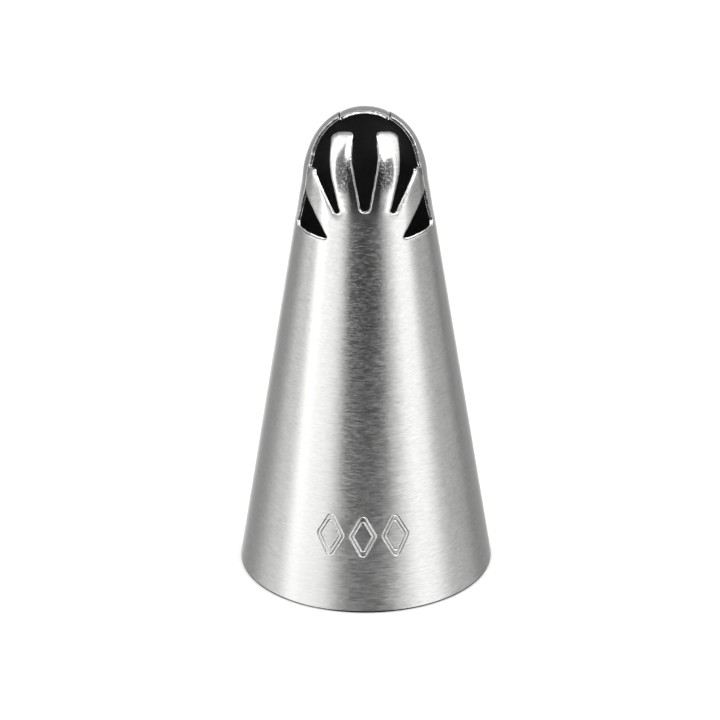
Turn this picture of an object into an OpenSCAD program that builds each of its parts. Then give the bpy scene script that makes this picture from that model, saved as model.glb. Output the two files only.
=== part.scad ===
// Piping nozzle: a thin steel cone that ends in a ball-shaped, slotted crown.
// Millimetres. The nozzle stands on its wide rim at z = 0, its axis is Z and
// the open mouth of the crown faces -Y. A drop is a distance below the top.

/* [Body] */
// Outside diameter of the wide rim
base_d = 18; // [14:0.5:30]
// Overall height, from the wide rim to the top of the crown
height = 35; // [28:0.5:60]
// Outside diameter of the ball-shaped end
ball_d = 8.2; // [7.6:0.1:9]
// Radius that blends the cone into the ball-shaped end
shoulder_r = 9.3; // [6:0.1:20]
// Distance from the ball to the cone's surface, if they weren't blended
shoulder_swell = 0.15; // [0.05:0.01:0.4]
// Thickness of the steel sheet
sheet = 0.2; // [0.15:0.01:0.4]

/* [Welds] */
// Distance from the window sills down to the butt joint of cone and crown
joint_below_sill = 0.72; // [0.5:0.02:3]
// Width of the ring weld at the outside face
ring_weld_w = 0.5; // [0.3:0.05:0.8]
// Thickness of the sheet edges that touch under the ring weld
weld_land = 0.07; // [0.03:0.01:0.1]
// Width of the weld that closes the rolled cone at the back
seam_weld_w = 0.6; // [0.3:0.05:1.2]

/* [Arch] */
// Distance of the arch's front edge from the axis at the window sills
arch_foot = 1; // [0.8:0.05:1.3]
// Distance of the arch's front edge from the axis where it bulges forward
arch_belly = 1.62; // [1.5:0.02:1.8]
// Drop of the bulge
arch_belly_drop = 4.9; // [4.5:0.1:5.4]
// Distance of the arch's front edge from the axis where it starts to lean back
arch_bend = 1.45; // [1.3:0.05:1.6]
// Drop of the place where it starts to lean back
arch_bend_drop = 3.25; // [2.9:0.05:3.6]
// Distance of the arch's front edge from the axis at the top
arch_top = 0.04; // [0.02:0.01:0.3]
// Distance from the middle to the fine seam between two strips of the arch
arch_seam_x = 1.8; // [1.5:0.05:2]
// Width of that seam
arch_seam_w = 0.06; // [0.04:0.01:0.1]
// How far that seam runs back past the axis
arch_seam_back = 1.4; // [0.8:0.1:2.4]

/* [Centre slot] */
// Drop of the slot's round bottom
slot_drop = 5.66; // [5:0.05:6.4]
// Width of the slot near its bottom
slot_bottom_w = 0.56; // [0.4:0.02:0.8]
// Width of the slot where it is widest
slot_w = 1.9; // [1.5:0.05:2.1]
// Drop of the widest place
slot_w_drop = 2.1; // [1.8:0.1:2.6]
// Width that the slot narrows to at the top
slot_top_w = 1; // [0.8:0.05:1.4]

/* [Side slots] */
// Drop of the side slots' bottoms
side_slot_drop = 6.12; // [5.8:0.02:6.4]
// Width of a side slot at its bottom
side_slot_w = 0.37; // [0.34:0.01:0.5]
// Distance from the middle to a side slot's bottom
side_slot_x = 1.75; // [1.65:0.05:1.85]

/* [Prongs] */
// Distance from the middle to a prong's outer edge where it is widest
prong_x = 2.52; // [2.4:0.02:2.7]
// Drop of the widest place
prong_x_drop = 2.8; // [2.5:0.1:3.2]
// Distance from the middle to the line of that edge at the top
prong_top_x = 2.2; // [2.1:0.02:2.3]
// Distance from the axis to a prong's end, at its outer corner
prong_end_outer = 1.53; // [1.3:0.02:1.7]
// Distance from the axis to a prong's end, at its inner corner
prong_end_inner = 2.17; // [1.9:0.02:2.4]
// Distance from the middle to a prong's end, at its outer corner
prong_outer_x = 2.35; // [2.2:0.05:2.5]
// Distance from the middle to a prong's end, at its inner corner
prong_inner_x = 0.74; // [0.6:0.02:0.8]
// Distance from the axis to where a prong starts to narrow to its end
prong_narrow = 3.2; // [2.9:0.05:3.4]
// Distance from the middle to the narrowing prong's inner edge, there
prong_narrow_x = 0.82; // [0.7:0.02:0.84]
// Radius of a prong's outer corner
prong_outer_r = 0.3; // [0.1:0.02:0.36]
// Radius of a prong's inner corner
prong_inner_r = 0.5; // [0.2:0.02:0.5]

/* [Ribs and windows] */
// Distance from the middle to a rib's upper inner corner
rib_tip_x = 3.5; // [3.4:0.02:3.6]
// Drop of a rib's upper inner corner
rib_tip_drop = 3.42; // [3.3:0.02:3.5]
// Width of a rib's blunt end
rib_end_w = 0.3; // [0.2:0.02:0.4]
// How far the blunt end falls towards the arch
rib_end_fall = 0.12; // [0.05:0.01:0.2]
// Drop of the windows' level sills
sill_drop = 7.98; // [7.6:0.02:8.1]
// Distance from the middle to a window's inner corner
window_x = 2.57; // [2.4:0.02:2.8]
// Distance from the middle to a window's top corner
window_top_x = 4.23; // [4.15:0.01:4.4]
// Drop of a window's top corner
window_top_drop = 5.2; // [4.9:0.05:5.5]
// Radius of the small corners of the slots and windows
corner_r = 0.16; // [0.05:0.01:0.17]

/* [Hidden] */
$fn = 96;
// Largest turn between two points of a drawn arc, in degrees
arc_turn = 5;
// How far a cutting block runs past what it cuts
over = 1;
// Share of a slot's bottom width that the radius of its corners takes
blunt_share = 0.46;
// Radii that round the long edges: of the centre slot, of the prongs and of
// the arch at its bulge and at its bend
slot_edge_r = 3.5;
prong_edge_r = 5;
arch_belly_r = 6;
arch_bend_r = 1.5;

base_r = base_d / 2;
ball_r = ball_d / 2;
ball_z = height - ball_r;
joint_z = height - sill_drop - joint_below_sill;

// The cone's line passes the ball at shoulder_swell, which gives its slant.
half_angle = atan2(base_r, ball_z) - asin((ball_r + shoulder_swell) / norm([base_r, ball_z]));
cone_out = [cos(half_angle), sin(half_angle)];
cone_up = [-sin(half_angle), cos(half_angle)];

// The blend's arc touches the cone's line and the ball. So its centre lies
// shoulder_r inside the line, and shoulder_r - ball_r from the ball's centre.
ball_c = [0, ball_z];
blend_side = shoulder_r - ball_r - shoulder_swell;
blend_down = sqrt(pow(shoulder_r - ball_r, 2) - pow(blend_side, 2));
blend_c = ball_c - cone_up * blend_down - cone_out * blend_side;
blend_turn = atan2(ball_c.y - blend_c.y, ball_c.x - blend_c.x);

// Radius of the cone at height z, at a depth under its outside face
function cone_r(z, depth) = base_r - z * tan(half_angle) - depth / cos(half_angle);

function unit(v) = v / norm(v);
function reversed(list) = [for (i = [len(list) - 1:-1:0]) list[i]];

// Points on an arc round c, from one angle to another
function arc(c, r, from, to) =
    let (n = max(1, ceil(abs(to - from) / arc_turn)))
    [for (i = [0:n]) let (a = from + (to - from) * i / n) c + r * [cos(a), sin(a)]];

// Points on the arc of radius r that rounds the corner between directions u and v
function corner_arc(at, u, v, r) =
    let (
        half = acos(u * v) / 2,
        c = at + unit(u + v) * r / sin(half),
        p = at + u * r / tan(half) - c,
        q = at + v * r / tan(half) - c,
        from = atan2(p.y, p.x))
    arc(c, r, from, from + atan2(cross(p, q), p * q));

// Outline from corners [x, y, radius], each rounded by its radius
function rounded(corners) =
    let (n = len(corners), at = [for (c = corners) [c.x, c.y]])
    [for (i = [0:n - 1])
        let (
            r = corners[i][2],
            back = unit(at[(i + n - 1) % n] - at[i]),
            ahead = unit(at[(i + 1) % n] - at[i]))
        each r == 0 ? [at[i]] : corner_arc(at[i], back, ahead, r)];

// Points up the crown's meridian to the axis, at a depth under its outside face
function crown_meridian(depth) = concat(
    arc(blend_c, shoulder_r - depth, half_angle, blend_turn),
    arc(ball_c, ball_r - depth, blend_turn + arc_turn, 90));

// Half of the ring weld's groove: the sheet edge from the inside face outwards
function groove_edge(side) = [
    [cone_r(joint_z, sheet), joint_z],
    [cone_r(joint_z, sheet - weld_land), joint_z],
    [cone_r(joint_z + side * ring_weld_w / 2, 0), joint_z + side * ring_weld_w / 2]
];

module skirt_sheet() {
    rotate_extrude()
        polygon(concat([[cone_r(0, sheet), 0], [cone_r(0, 0), 0]], reversed(groove_edge(-1))));
}

module crown_sheet() {
    rotate_extrude()
        polygon(concat(groove_edge(1), crown_meridian(0), reversed(crown_meridian(sheet))));
}

// The gap between the two edges of the rolled cone, at the back
module seam_gap() {
    translate([-seam_weld_w / 2, 0, -over])
        cube([seam_weld_w, base_r + over, height]);
}

// A shape drawn in the front view, run through the front half
module through_front() {
    rotate([90, 0, 0])
        linear_extrude(base_r + over)
            children();
}

module on_both_sides() {
    children();
    mirror([1, 0, 0])
        children();
}

module centre_slot_outline() {
    bottom = height - slot_drop;
    polygon(rounded([
        [-slot_bottom_w / 2, bottom, slot_bottom_w * blunt_share],
        [slot_bottom_w / 2, bottom, slot_bottom_w * blunt_share],
        [slot_w / 2, height - slot_w_drop, slot_edge_r],
        [slot_top_w / 2, height + over, 0],
        [-slot_top_w / 2, height + over, 0],
        [-slot_w / 2, height - slot_w_drop, slot_edge_r]
    ]));
}

// A side slot, which widens into the mouth above the rib's end
module side_slot_outline() {
    bottom = height - side_slot_drop;
    rib_tip = height - rib_tip_drop;
    polygon(rounded([
        [side_slot_x, bottom, corner_r],
        [side_slot_x + side_slot_w, bottom, corner_r],
        [rib_tip_x, rib_tip, corner_r * blunt_share],
        [rib_tip_x + rib_end_w, rib_tip - rib_end_fall, corner_r],
        [rib_tip_x + rib_end_w + over, rib_tip - rib_end_fall - over, 0],
        [base_r, rib_tip - rib_end_fall - over, 0],
        [base_r, height + over, 0],
        [prong_top_x, height + over, 0],
        [prong_top_x, height, 0],
        [prong_x, height - prong_x_drop, prong_edge_r]
    ]));
}

module window_outline() {
    sill = height - sill_drop;
    top = height - window_top_drop;
    polygon(rounded([
        [window_x, sill, corner_r],
        [base_r, sill, 0],
        [base_r, top, 0],
        [window_top_x, top, 0]
    ]));
}

// What is open beyond the prongs' ends, drawn in the top view
module beyond_prongs_outline() {
    difference() {
        translate([-prong_x, -prong_narrow])
            square([2 * prong_x, prong_narrow + over]);
        on_both_sides()
            polygon(rounded([
                [prong_x, -prong_narrow, 0],
                [prong_outer_x, -prong_end_outer, prong_outer_r],
                [prong_inner_x, -prong_end_inner, prong_inner_r],
                [prong_narrow_x, -prong_narrow, 0]
            ]));
    }
}

// Everything in front of the arch's edge and above the sills, drawn in the
// side view and run along X
module before_arch() {
    sill = height - sill_drop;
    rotate([90, 0, 90])
        linear_extrude(base_d + 2 * over, center = true)
            polygon(rounded([
                [-base_r - over, sill, 0],
                [-arch_foot, sill, 0],
                [-arch_belly, height - arch_belly_drop, arch_belly_r],
                [-arch_bend, height - arch_bend_drop, arch_bend_r],
                [-arch_top, height, 0],
                [-arch_top, height + over, 0],
                [-base_r - over, height + over, 0]
            ]));
}

module crown_cuts() {
    intersection() {
        before_arch();
        union() {
            through_front()
                centre_slot_outline();
            on_both_sides()
                through_front() {
                    side_slot_outline();
                    window_outline();
                }
            translate([0, 0, height - prong_x_drop])
                linear_extrude(prong_x_drop + over)
                    beyond_prongs_outline();
        }
    }
    on_both_sides()
        translate([arch_seam_x - arch_seam_w / 2, -arch_top - over, ball_z])
            cube([arch_seam_w, arch_top + over + arch_seam_back, ball_r + over]);
}

module skirt() {
    color("silver")
        difference() {
            skirt_sheet();
            seam_gap();
        }
}

module skirt_seam_weld() {
    color("lightsteelblue")
        intersection() {
            skirt_sheet();
            seam_gap();
        }
}

module crown() {
    color("gainsboro")
        difference() {
            crown_sheet();
            crown_cuts();
        }
}

module ring_weld() {
    color("lightsteelblue")
        rotate_extrude()
            polygon([groove_edge(-1)[2], groove_edge(1)[2], groove_edge(1)[1]]);
}

skirt();
skirt_seam_weld();
crown();
ring_weld();
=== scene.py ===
import math
from functools import reduce

import bpy
import numpy as np
from mathutils import Matrix, Vector
from mathutils.geometry import delaunay_2d_cdt


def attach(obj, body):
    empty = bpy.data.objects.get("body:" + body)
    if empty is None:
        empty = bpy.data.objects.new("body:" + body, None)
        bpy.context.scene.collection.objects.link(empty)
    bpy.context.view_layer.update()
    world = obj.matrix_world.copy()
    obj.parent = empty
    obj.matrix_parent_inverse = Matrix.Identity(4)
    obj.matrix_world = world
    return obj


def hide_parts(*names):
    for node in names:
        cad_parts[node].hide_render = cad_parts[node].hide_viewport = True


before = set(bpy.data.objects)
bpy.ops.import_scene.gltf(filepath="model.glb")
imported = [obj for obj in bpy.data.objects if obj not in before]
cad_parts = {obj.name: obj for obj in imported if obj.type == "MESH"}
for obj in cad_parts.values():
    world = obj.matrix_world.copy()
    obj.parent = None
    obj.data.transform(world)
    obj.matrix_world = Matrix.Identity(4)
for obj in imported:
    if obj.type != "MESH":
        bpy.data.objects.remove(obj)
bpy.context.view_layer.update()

# All lengths are in millimetres until a mesh is made
MM = 0.001

# The body, with the part's own values
BASE_R = 9.0
HEIGHT = 35.0
BALL_R = 4.1
SHOULDER_R = 9.3
SHOULDER_SWELL = 0.15
SHEET = 0.2
RING_WELD_W = 0.5
WELD_LAND = 0.07
SEAM_WELD_W = 0.6
SILL_DROP = 7.98
JOINT_BELOW_SILL = 0.72
JOINT_Z = HEIGHT - SILL_DROP - JOINT_BELOW_SILL
WELD_TOP_Z = JOINT_Z + RING_WELD_W / 2
WELD_LOW_Z = JOINT_Z - RING_WELD_W / 2

# The finish of the rim, seam weld and arch, which only this scene has
OUTER_ROUND = 0.13
INNER_ROUND = 0.04
SEAM_PITCH = 0.42
SEAM_RIPPLE = 0.016
STRIP_SUNK = 0.05
SIDES_OUT = 0.07
FEET_SUNK = 0.03

# How finely the crown and the mark are drawn
FIELD_STEP = 0.025
EDGE_STEP = 0.06
SKIN_STEP = 0.25
MARK_STEP = 0.07


def unit(v):
    return v / np.linalg.norm(v, axis=-1, keepdims=True)


def smooth(lo, hi, x):
    t = np.clip((x - lo) / (hi - lo), 0, 1)
    return t * t * (3 - 2 * t)


def least(*fields):
    return reduce(np.minimum, fields)


def most(*fields):
    return reduce(np.maximum, fields)


def turned(r, az, z):
    """Points at radius r and height z. The azimuth is 0 in front and grows towards +X."""
    return np.stack([r * np.sin(az), -r * np.cos(az), z + 0 * az], -1)


def heading(p):
    """The direction of a closed line at each of its points."""
    return unit(np.roll(p, -1, axis=0) - np.roll(p, 1, axis=0))


def lengths(p):
    """How far along a closed line each point is, with the whole length last."""
    return np.concatenate([[0], np.cumsum(np.linalg.norm(np.roll(p, -1, axis=0) - p, axis=1))])


def respaced(line, length, spacing):
    """A closed line with even spacing, from how far along each point is."""
    at = np.linspace(0, length[-1], round(length[-1] / spacing), endpoint=False)
    closed = np.concatenate([line, line[:1]])
    return np.stack([np.interp(at, length, closed[:, k]) for k in (0, 1)], -1)


# Meridian of the outside face: the ball, the blend and the cone
BALL_Z = HEIGHT - BALL_R
HALF_ANGLE = (math.atan2(BASE_R, BALL_Z)
              - math.asin((BALL_R + SHOULDER_SWELL) / math.hypot(BASE_R, BALL_Z)))
CONE_OUT = np.array([math.cos(HALF_ANGLE), math.sin(HALF_ANGLE)])
CONE_UP = np.array([-math.sin(HALF_ANGLE), math.cos(HALF_ANGLE)])
BLEND_SIDE = SHOULDER_R - BALL_R - SHOULDER_SWELL
BLEND_DOWN = math.sqrt((SHOULDER_R - BALL_R) ** 2 - BLEND_SIDE ** 2)
BLEND_C = np.array([0, BALL_Z]) - CONE_UP * BLEND_DOWN - CONE_OUT * BLEND_SIDE
BALL_TURN = math.atan2(-BLEND_C[0], BALL_Z - BLEND_C[1])
CONE_TURN = math.pi / 2 - HALF_ANGLE
CONE_TOP = BLEND_C + SHOULDER_R * CONE_OUT
BALL_RUN = BALL_R * BALL_TURN
BLEND_RUN = BALL_RUN + SHOULDER_R * (CONE_TURN - BALL_TURN)


def meridian(run):
    """Radius, height and the normal's angle from +Z, at a run down the outside face."""
    run = np.asarray(run, float)
    below = run - BLEND_RUN

    def choose(ball, blend, cone):
        return np.where(run < BALL_RUN, ball, np.where(run < BLEND_RUN, blend, cone))

    turn = choose(run / BALL_R, BALL_TURN + (run - BALL_RUN) / SHOULDER_R, CONE_TURN)
    r = choose(BALL_R * np.sin(turn), BLEND_C[0] + SHOULDER_R * np.sin(turn),
               CONE_TOP[0] - below * CONE_UP[0])
    z = choose(BALL_Z + BALL_R * np.cos(turn), BLEND_C[1] + SHOULDER_R * np.cos(turn),
               CONE_TOP[1] - below * CONE_UP[1])
    return r, z, turn


def run_at(z):
    """Run down the cone to the height z of its outside face."""
    return BLEND_RUN + (CONE_TOP[1] - z) / CONE_UP[1]


def skin(run, az, depth=0.0):
    """Points at a depth under the outside face, and its normals."""
    r, z, turn = meridian(run)
    az = np.asarray(az, float)
    n = turned(np.sin(turn), az, np.cos(turn))
    return turned(r, az, z) - np.asarray(depth)[..., None] * n, n


def place(p):
    """Run and azimuth of points near the outside face."""
    r, z = np.hypot(p[..., 0], p[..., 1]), p[..., 2]
    ball = np.arctan2(r, z - BALL_Z)
    blend = np.arctan2(r - BLEND_C[0], z - BLEND_C[1])
    below = (r - CONE_TOP[0]) * math.sin(HALF_ANGLE) + (CONE_TOP[1] - z) * math.cos(HALF_ANGLE)
    lower = np.where(blend < CONE_TURN, BALL_RUN + (blend - BALL_TURN) * SHOULDER_R, BLEND_RUN + below)
    run = np.where(ball < BALL_TURN, ball * BALL_R, lower)
    return run, np.arctan2(p[..., 0], -p[..., 1])


def cone_r(z, depth):
    """Radius of the cone at a height, at a depth under its outside face."""
    return BASE_R - z * math.tan(HALF_ANGLE) - depth / math.cos(HALF_ANGLE)


# Outlines of the openings
ROUND_STEP = math.radians(5)


def rounded(corners):
    """Outline from corners (x, y, radius), each rounded by its radius."""
    points = []
    for i, (x, y, r) in enumerate(corners):
        at = np.array([x, y])
        if r == 0:
            points.append(at)
            continue
        back = unit(np.array(corners[i - 1][:2]) - at)
        ahead = unit(np.array(corners[(i + 1) % len(corners)][:2]) - at)
        half = math.acos(back @ ahead) / 2
        c = at + unit(back + ahead) * r / math.sin(half)
        p, q = at + back * r / math.tan(half) - c, at + ahead * r / math.tan(half) - c
        start = math.atan2(p[1], p[0])
        sweep = math.atan2(p[0] * q[1] - p[1] * q[0], p @ q)
        steps = max(1, math.ceil(abs(sweep) / ROUND_STEP))
        for t in np.linspace(start, start + sweep, steps + 1):
            points.append(c + r * np.array([math.cos(t), math.sin(t)]))
    return np.array(points)


def within(px, py, outline):
    """Distance to an outline, positive inside it."""
    gap = np.full(np.shape(px), 1e9)
    odd = np.zeros(np.shape(px), bool)
    for (ax, ay), (bx, by) in zip(outline, np.roll(outline, -1, axis=0)):
        ex, ey = bx - ax, by - ay
        t = np.clip(((px - ax) * ex + (py - ay) * ey) / (ex * ex + ey * ey), 0, 1)
        gap = np.minimum(gap, (px - ax - t * ex) ** 2 + (py - ay - t * ey) ** 2)
        if ay != by:
            odd ^= ((ay > py) != (by > py)) & (px < ax + (py - ay) * ex / ey)
    return np.where(odd, 1, -1) * np.sqrt(gap)


SILL_Z = HEIGHT - SILL_DROP
PRONG_X = 2.52
PRONG_FRONT = 3.2
PRONG_TOP_Z = HEIGHT - 2.8
ARCH_TOP = 0.04
ARCH_SEAM_X = 1.8
ARCH_SEAM_W = 0.06
ARCH_SEAM_BACK = 1.4
RIB_SEAM_W = 0.045
RIB_SEAM_Z = (29.6, 31.7)
RIB_SEAM_X = 3.0
CENTRE_SLOT = rounded([
    (-0.28, HEIGHT - 5.66, 0.2576), (0.28, HEIGHT - 5.66, 0.2576), (0.95, HEIGHT - 2.1, 3.5),
    (0.5, HEIGHT + 1, 0), (-0.5, HEIGHT + 1, 0), (-0.95, HEIGHT - 2.1, 3.5)])
SIDE_SLOT = rounded([
    (1.75, HEIGHT - 5.95, 0.16), (2.12, HEIGHT - 5.95, 0.16), (3.5, HEIGHT - 3.42, 0.0736),
    (3.8, HEIGHT - 3.54, 0.16), (4.8, HEIGHT - 4.54, 0), (BASE_R, HEIGHT - 4.54, 0), (BASE_R, HEIGHT + 1, 0),
    (2.2, HEIGHT + 1, 0), (2.2, HEIGHT, 0), (PRONG_X, PRONG_TOP_Z, 5)])
WINDOW = rounded([
    (2.57, SILL_Z, 0.16), (BASE_R, SILL_Z, 0), (BASE_R, HEIGHT - 5.2, 0), (4.23, HEIGHT - 5.2, 0)])
BEFORE_ARCH = rounded([
    (-10, SILL_Z, 0), (-1, SILL_Z, 0), (-1.62, HEIGHT - 4.9, 6), (-1.45, HEIGHT - 3.25, 1.5),
    (-ARCH_TOP, HEIGHT, 0), (-ARCH_TOP, HEIGHT + 1, 0), (-10, HEIGHT + 1, 0)])
PRONG_END = rounded([
    (PRONG_X, -PRONG_FRONT, 0), (2.4, -1.68, 0.28), (1.75, -1.78, 1), (0.8, -2.18, 0.42),
    (0.82, -PRONG_FRONT, 0)])


def arch_y(z):
    """Where along Y the arch's edge is, at a height."""
    side = BEFORE_ARCH[1:-2]
    return np.interp(z, side[:, 1], side[:, 0])


def cut_depth(p):
    """How far points of the crown lie inside its openings, below 0 where steel is left."""
    x, y, z = np.abs(p[..., 0]), p[..., 1], p[..., 2]
    beyond = least(PRONG_X - x, y + PRONG_FRONT, z - PRONG_TOP_Z, -within(x, y, PRONG_END))
    cuts = most(within(x, z, CENTRE_SLOT), within(x, z, SIDE_SLOT), within(x, z, WINDOW), beyond)
    openings = least(within(y, z, BEFORE_ARCH), cuts)
    seam = least(ARCH_SEAM_W / 2 - np.abs(x - ARCH_SEAM_X), ARCH_SEAM_BACK - y, y + ARCH_TOP + 1, z - BALL_Z)
    rib = least(RIB_SEAM_W / 2 - np.abs(y - arch_y(z)), z - RIB_SEAM_Z[0], RIB_SEAM_Z[1] - z, x - RIB_SEAM_X)
    return most(openings, seam, rib)


# Which two sides of a grid cell an edge line joins, by the corners that are open
CELL_LINES = {
    1: ((3, 0),), 2: ((0, 1),), 3: ((3, 1),), 4: ((1, 2),), 5: ((3, 0), (1, 2)),
    6: ((0, 2),), 7: ((3, 2),), 8: ((2, 3),), 9: ((2, 0),), 10: ((0, 1), (2, 3)),
    11: ((2, 1),), 12: ((1, 3),), 13: ((1, 0),), 14: ((0, 3),)}
# The part of the flattened crown that is searched for edges, and the shortest edge that counts
FIELD_HALF = 10.8
FIELD_SPAN = (-11.0, 1.8)
SHORTEST_EDGE = 0.5


def edge_lines(field, us, vs):
    """Closed lines where a field over a grid is 0, as lists of (u, v)."""
    opened = field > 0
    code = opened[:-1, :-1] * 1 + opened[:-1, 1:] * 2 + opened[1:, 1:] * 4 + opened[1:, :-1] * 8
    nodes, links = {}, {}

    def crossing(i, j, side):
        (i0, j0), (i1, j1) = (((i, j), (i, j + 1)), ((i, j + 1), (i + 1, j + 1)),
                              ((i + 1, j), (i + 1, j + 1)), ((i, j), (i + 1, j)))[side]
        key = (i0, j0, i1, j1)
        if key not in nodes:
            t = field[i0, j0] / (field[i0, j0] - field[i1, j1])
            nodes[key] = (us[j0] + t * (us[j1] - us[j0]), vs[i0] + t * (vs[i1] - vs[i0]))
        return key

    for i, j in zip(*np.nonzero((code > 0) & (code < 15))):
        for a, b in CELL_LINES[int(code[i, j])]:
            a, b = crossing(i, j, a), crossing(i, j, b)
            links.setdefault(a, []).append(b)
            links.setdefault(b, []).append(a)
    lines = []
    while links:
        start = next(iter(links))
        line, at, last = [start], start, None
        while True:
            ahead = [k for k in links[at] if k != last]
            last, at = at, (ahead or [start])[0]
            if at == start:
                break
            line.append(at)
        for key in line:
            del links[key]
        lines.append(np.array([nodes[key] for key in line]))
    return lines


def flat_to_skin(uv):
    """Run and azimuth of points of the flattened crown."""
    return np.hypot(uv[..., 0], uv[..., 1]), np.arctan2(uv[..., 0], -uv[..., 1])


def crown_edges():
    """The lines of the crown's openings on the flattened crown, each with the opening on its left."""
    half = np.arange(0, FIELD_HALF, FIELD_STEP)
    vs = np.arange(*FIELD_SPAN, FIELD_STEP)
    u, v = np.meshgrid(half, vs)
    run, az = flat_to_skin(np.stack([u, v], -1))
    field = cut_depth(skin(run, az)[0])
    field = np.concatenate([field[:, :0:-1], field], 1)
    us = np.concatenate([-half[:0:-1], half])
    edges = []
    for line in edge_lines(field, us, vs):
        area = np.sum(line[:, 0] * np.roll(line[:, 1], -1) - line[:, 1] * np.roll(line[:, 0], -1))
        line = line if area > 0 else line[::-1]
        length = lengths(skin(*flat_to_skin(line))[0])
        if length[-1] >= SHORTEST_EDGE:
            edges.append(respaced(line, length, EDGE_STEP))
    return edges


# How each kind of edge of the crown is finished: width and depth of the tight roll, width and depth
# of the broad one, waviness, how far the cut leans into the opening, how much the sheet thickens
# there, and whether the middle of the cut gets painted shade. A ninth column says if the outline stays as
# cut.
ROLL = slice(0, 4)
BROAD_W, BROAD_D, WAVES, SLANT, THICKER, SHADE_BAND, AS_CUT = 2, 3, 4, 5, 6, 7, 8
EDGES = {
    "arch": (0.07, 0.045, 0.30, 0.00, 0.012, 0.03, 0.08, 1),
    "top": (0.06, 0.040, 0.30, 0.00, 0.010, 0.09, 0.03, 0),
    "seam": (0.05, 0.035, 0.20, 0.01, 0.000, 0.00, 0.05, 0),
    "end": (0.14, 0.060, 0.45, 0.04, 0.012, 0.00, 0.00, 0),
    "centre": (0.12, 0.060, 0.55, 0.05, 0.008, 0.05, 0.00, 0),
    "prong": (0.22, 0.080, 0.65, 0.08, 0.006, 0.00, 0.00, 0),
    "rib": (0.12, 0.060, 0.40, 0.03, 0.006, 0.03, 0.00, 0),
    "sill": (0.10, 0.090, 0.30, 0.02, 0.008, 0.09, 0.00, 0),
    "window": (0.14, 0.085, 0.30, 0.02, 0.008, 0.03, 0.00, 0)}
# The small bevel inside the cut edge
BEVEL = 0.05
# Rows of points over a roll's width and over a cut's height, as shares of them
ROLL_ROWS = (0.1, 0.3, 0.6, 1.0)
CUT_ROWS = (0.3, 0.75, 1.0)
RIPPLE_SEED = 7
# The viewing direction in which the outlines were measured
SEEN_ELEVATION = math.radians(26)
SEEN_FROM = np.array([0, -math.cos(SEEN_ELEVATION), math.sin(SEEN_ELEVATION)])


def finish_of(p):
    """The finish of each edge point."""
    x, y, z = np.abs(p[:, 0]), p[:, 1], p[:, 2]
    behind = y - arch_y(z)
    at_seam = (np.abs(x - ARCH_SEAM_X) < 0.07) & (y > -0.9) & (z > 32)
    at_rib_seam = (np.abs(behind) < 0.05) & (z > 29.85) & (z < 31.3) & (x > 3.2)
    # The first kind that fits counts
    kinds = [
        ("seam", at_seam | at_rib_seam),
        ("top", (behind > -0.08) & (x < ARCH_SEAM_X) & (z > 33)),
        ("arch", behind > -0.08),
        ("sill", (z < SILL_Z + 0.12) & (x > 2.8)),
        ("window", (z < 29.9) & (x > 2.2 + (z - SILL_Z) * 0.5)),
        ("end", z > 33.8),
        ("centre", x < 1.05),
        ("prong", x < 1.93 + (z - 28.88) * 0.354),
        ("rib", x > -1)]
    finish = np.zeros((len(p), AS_CUT + 1))
    free = np.ones(len(p), bool)
    for name, test in kinds:
        finish[free & test, :AS_CUT] = EDGES[name]
        finish[free & test, AS_CUT] = name in ("arch", "top", "seam")
        free &= ~test
    return finish


def eased(values, reach=3):
    """Values along a closed line, averaged over their neighbours."""
    padded = np.concatenate([values[-reach:], values, values[:reach]])
    return np.convolve(padded, np.ones(2 * reach + 1) / (2 * reach + 1), "valid")


def ripple(count, seed):
    """A closed line of small bumps between about -1 and 1."""
    waves, shortest, longest, limit = 40, 0.25, 1.6, 1.6
    rng = np.random.default_rng(seed)
    s = np.linspace(0, 2 * math.pi, count, endpoint=False)
    turns = np.round(count * EDGE_STEP / rng.uniform(shortest, longest, waves))
    phases = rng.uniform(0, 6.28, waves)
    out = sum(math.sqrt(1 / waves) * 1.4 * np.sin(turn * s + phase) for turn, phase in zip(turns, phases))
    return np.clip(out, -limit, limit)


def nearest(points, targets, batch=2000):
    """Index of and distance to the nearest target of each point."""
    index = np.empty(len(points), int)
    gap = np.empty(len(points))
    for k in range(0, len(points), batch):
        d = np.linalg.norm(points[k:k + batch, None] - targets[None], axis=2)
        index[k:k + batch] = d.argmin(1)
        gap[k:k + batch] = d.min(1)
    return index, gap


def roll_shape(d, w, h, w2, h2):
    """Depth at a distance from a rolled edge, and how fast it falls off."""
    t = np.clip(1 - d / w, 0, 1)
    b = np.clip(1 - d / w2, 0, 1)
    depth = h * (1 - np.sqrt(1 - t * t)) + h2 * b * b
    fall = h / w * t / np.sqrt(np.maximum(1 - t * t, 1e-6)) + 2 * h2 / w2 * b
    return depth, fall


# A plane map of the crown that keeps angles, so that its triangles come out even
RUN_END = float(run_at(JOINT_Z))
MAP_START = 1e-4
MAP_RUN = np.linspace(MAP_START, RUN_END + 0.5, 6000)
MAP_SLOPE = 1 / meridian(MAP_RUN)[0]
MAP_RISE = (MAP_SLOPE[1:] + MAP_SLOPE[:-1]) / 2 * np.diff(MAP_RUN)
MAP_LOG = math.log(MAP_START) + np.concatenate([[0], np.cumsum(MAP_RISE)])


def even_map(run, az):
    """Where a run and azimuth fall on that map."""
    rho = np.exp(np.interp(run, MAP_RUN, MAP_LOG))
    return turned(rho, az, 0)[..., :2]


# Columns round the axis: one a degree up to this azimuth, and more beside and across the seam weld
EVEN_TO = 174
SEAM_COLUMNS = 7


def columns(r):
    """Azimuths of the columns at radius r, from one edge of the seam weld to the other, and across it."""
    half = SEAM_WELD_W / 2
    front = np.radians(np.arange(-EVEN_TO, EVEN_TO + 1))
    right = np.linspace(math.radians(EVEN_TO), math.pi - math.asin(half / r), 5)[1:]
    left = -right[::-1]
    across = math.pi - np.arcsin(np.linspace(half, -half, SEAM_COLUMNS)[1:-1] / r)
    return np.concatenate([left, front, right]), across


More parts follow.
